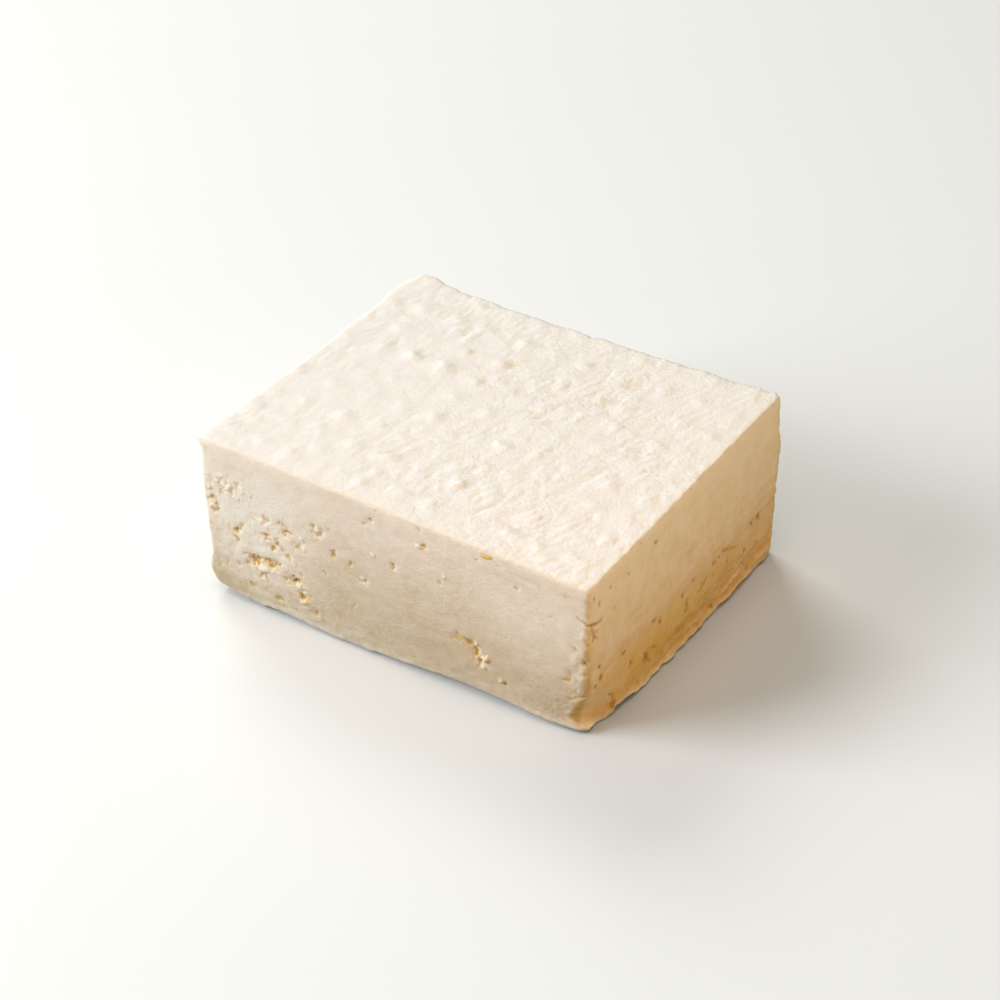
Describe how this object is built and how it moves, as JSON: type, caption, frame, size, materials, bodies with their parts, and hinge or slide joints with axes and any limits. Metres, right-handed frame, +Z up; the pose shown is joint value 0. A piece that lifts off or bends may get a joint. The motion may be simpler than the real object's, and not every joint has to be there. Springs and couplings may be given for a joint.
{
  "type": "tofu block",
  "caption": "Rectangular block of firm tofu with a cloth-pressed top, knife-cut sides with small torn hollows, and rounded lower corners, resting flat on its underside.",
  "frame": {"origin": "centre of the bounding box at the underside that the block rests on", "axes": "+X along the long front face, +Y from the front to the back, +Z up"},
  "size_m": [0.1026, 0.0864, 0.0441],
  "materials": {
    "bean_curd": "moist ivory bean curd, slightly translucent, cloth-pressed on the top and knife-cut on the sides"
  },
  "bodies": {
    "root": {"tofu_block": "bean_curd"}
  },
  "joints": []
}
